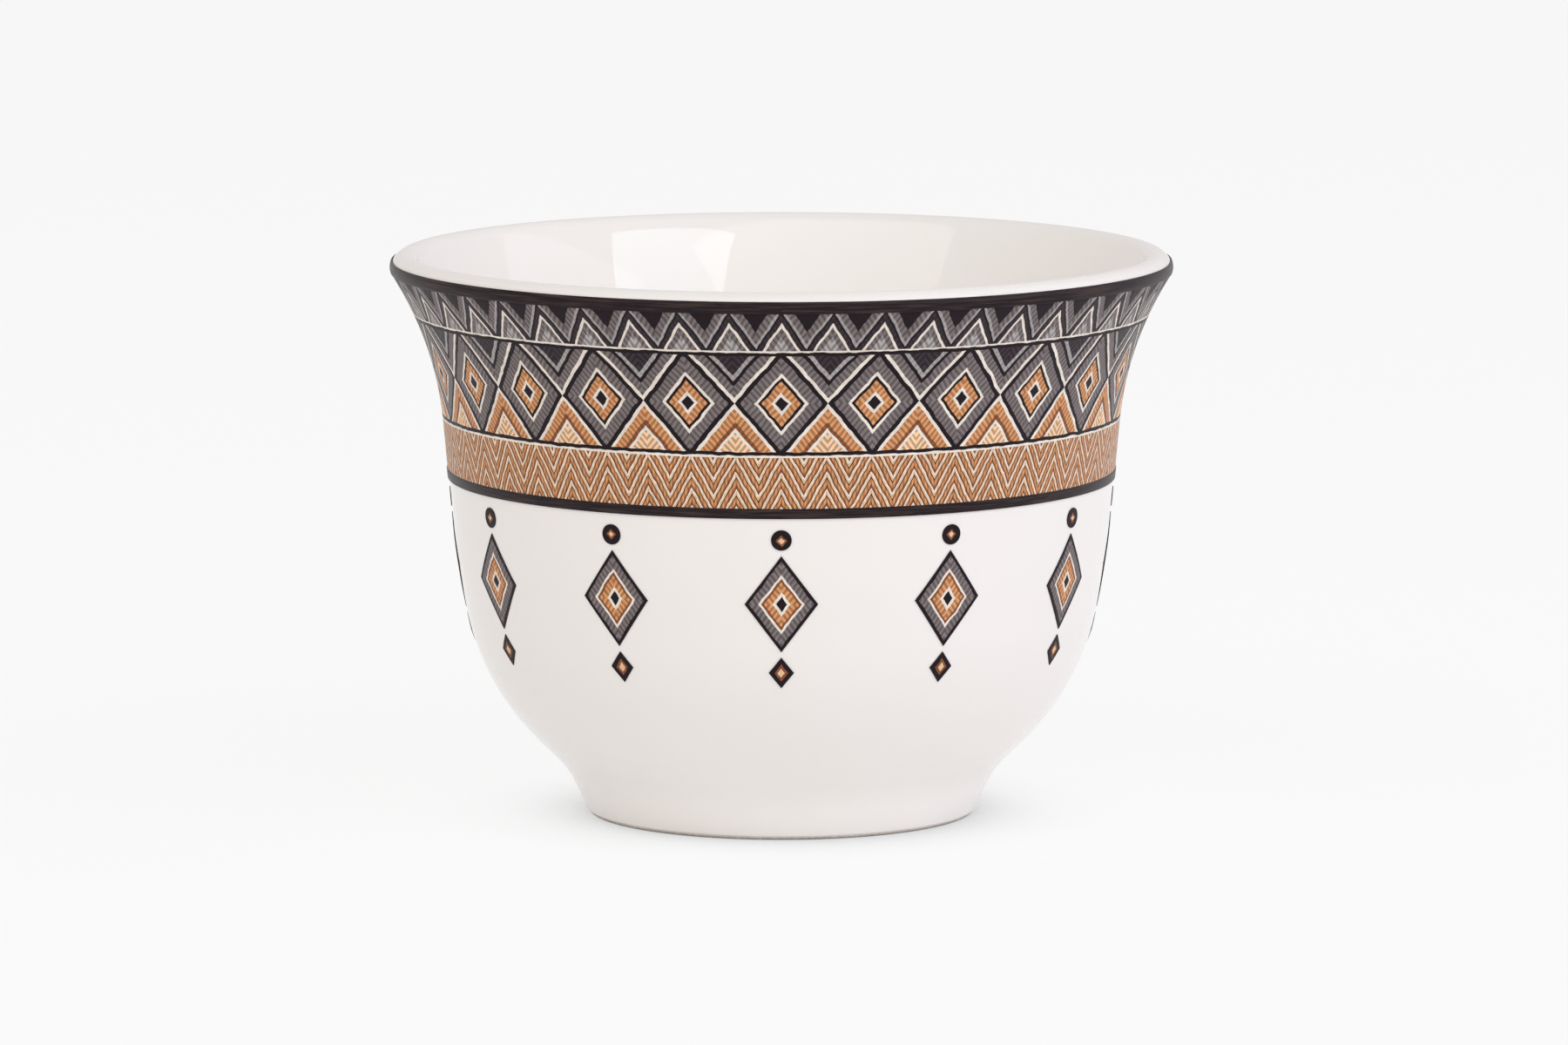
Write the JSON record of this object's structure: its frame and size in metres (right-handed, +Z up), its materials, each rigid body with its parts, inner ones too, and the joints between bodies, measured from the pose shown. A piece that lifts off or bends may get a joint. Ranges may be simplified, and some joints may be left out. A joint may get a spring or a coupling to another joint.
{
  "type": "arabic coffee cup",
  "caption": "Small handleless porcelain coffee cup with a flared rim, a foot ring and a white glaze, decorated outside with a printed geometric band and medallions.",
  "frame": {"origin": "centre of the foot ring on the plane that the cup stands on", "axes": "+Z up along the cup's axis; the decoration's front faces -Y"},
  "size_m": [0.07, 0.07, 0.0505],
  "materials": {
    "bare_porcelain": "matte",
    "white_glaze": "gloss",
    "black_enamel": "gloss",
    "tan_enamel": "gloss",
    "grey_enamel": "gloss"
  },
  "bodies": {
    "root": {"edge_line": "black_enamel", "glaze_coat": "white_glaze", "lower_border_1": "tan_enamel", "lower_border_2": "tan_enamel", "lower_border_3": "tan_enamel", "lower_border_4": "tan_enamel", "lower_border_5": "tan_enamel", "lower_border_6": "tan_enamel", "main_band_1": "grey_enamel", "main_band_2": "grey_enamel", "main_band_3": "grey_enamel", "main_band_4": "grey_enamel", "main_band_5": "grey_enamel", "main_band_6": "grey_enamel", "medallion_1": "grey_enamel", "medallion_10": "grey_enamel", "medallion_11": "grey_enamel", "medallion_12": "grey_enamel", "medallion_2": "grey_enamel", "medallion_3": "grey_enamel", "medallion_4": "grey_enamel", "medallion_5": "grey_enamel", "medallion_6": "grey_enamel", "medallion_7": "grey_enamel", "medallion_8": "grey_enamel", "medallion_9": "grey_enamel", "porcelain_body": "bare_porcelain", "rim_line": "black_enamel", "upper_border_1": "grey_enamel", "upper_border_2": "grey_enamel", "upper_border_3": "grey_enamel", "upper_border_4": "grey_enamel", "upper_border_5": "grey_enamel", "upper_border_6": "grey_enamel", "well_glaze": "white_glaze"}
  },
  "joints": []
}
